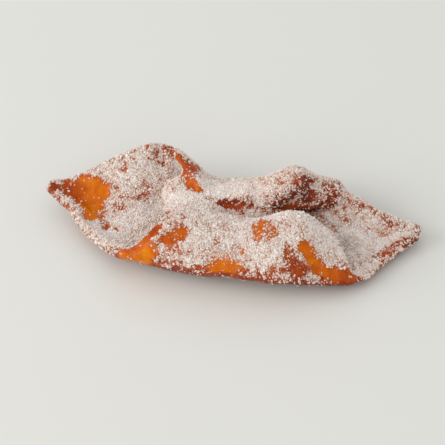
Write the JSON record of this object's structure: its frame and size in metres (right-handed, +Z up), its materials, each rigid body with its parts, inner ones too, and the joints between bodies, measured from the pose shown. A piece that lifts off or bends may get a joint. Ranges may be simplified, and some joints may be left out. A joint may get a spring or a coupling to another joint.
{
  "type": "fried pastry roll",
  "caption": "Fried pastry roll: a square of thin dough with two corners folded over its middle and open scooped ends, rolled in coarse sugar.",
  "frame": {"origin": "middle of the underside: the centre of the bounding box in X and Y, at the height of the flat spot the roll rests on", "axes": "+X along the roll to its right tip, -Y to the side of the front fold, +Z up"},
  "size_m": [0.123, 0.0464, 0.0197],
  "materials": {
    "sugared_crust": "golden to reddish brown fried crust, glossy with oil where bare, under a dense coat of coarse white sugar"
  },
  "bodies": {
    "root": {"pastry": "sugared_crust"}
  },
  "joints": []
}
